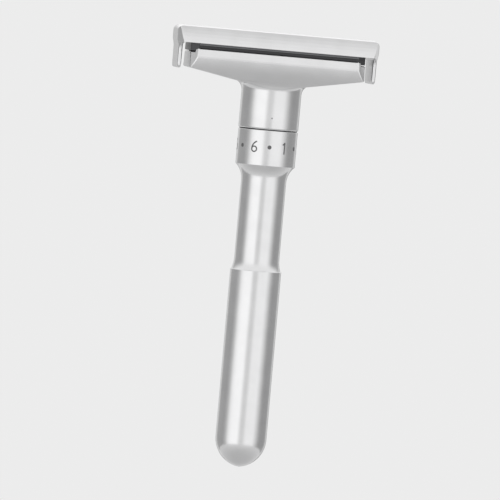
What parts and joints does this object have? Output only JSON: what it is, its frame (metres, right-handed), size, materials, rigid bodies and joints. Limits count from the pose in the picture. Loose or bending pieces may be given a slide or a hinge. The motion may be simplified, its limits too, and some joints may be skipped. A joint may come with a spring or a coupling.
{
  "type": "safety razor",
  "caption": "Adjustable double-edge safety razor with a lift-off cap, a guard with plain safety bars and a turning handle whose dial raises or lowers the blade.",
  "frame": {"origin": "tip of the domed end of the grip, on the handle's axis, at the bottom centre of the part's box", "axes": "+Z along the handle towards the head, +X along the blade to the right, the dial is read from -Y"},
  "size_m": [0.0476, 0.022, 0.1025],
  "materials": {
    "satin_chrome": "satin chrome plate",
    "blade_steel": "ground stainless steel",
    "bright_steel": "turned stainless steel",
    "brass": "turned brass",
    "dark_plastic": "moulded acetal",
    "mark_fill": "enamel fill"
  },
  "bodies": {
    "head": {"guard_head": "satin_chrome", "index_mark": "mark_fill", "head_spring": "bright_steel"},
    "handle": {"handle_stem": "satin_chrome", "grip": "satin_chrome", "drive_nut": "brass", "neck_bush": "brass", "stop_pin": "bright_steel", "friction_washer": "dark_plastic", "dial_numerals": "mark_fill", "dial_dots": "mark_fill"},
    "table": {"blade_table": "satin_chrome", "table_screw": "bright_steel", "spindle": "bright_steel", "spring_washer": "bright_steel", "catch_ring_left": "bright_steel", "catch_ring_right": "bright_steel"},
    "blade": {"blade": "blade_steel"},
    "cap": {"cap": "satin_chrome", "cap_stud_left": "bright_steel", "cap_stud_right": "bright_steel"}
  },
  "joints": [
    {"name": "dial_turn", "type": "hinge", "parent": "head", "child": "handle", "pos_m": [0, 0, 0], "axis": [0, 0, -1], "range_deg": [0, 330]},
    {"name": "table_lift", "type": "slide", "parent": "head", "child": "table", "axis": [0, 0, 1], "range_m": [0, 0.0006875], "deforming": ["head_spring"]},
    {"name": "blade_lift", "type": "slide", "parent": "table", "child": "blade", "axis": [0, 0, 1], "range_m": [0, 0.012]},
    {"name": "cap_lift", "type": "slide", "parent": "blade", "child": "cap", "axis": [0, 0, 1], "range_m": [0, 0.02]}
  ],
  "couplings": [
    {"joint": "dial_turn", "follows": "table_lift", "rad_per_m": 8377.6}
  ]
}
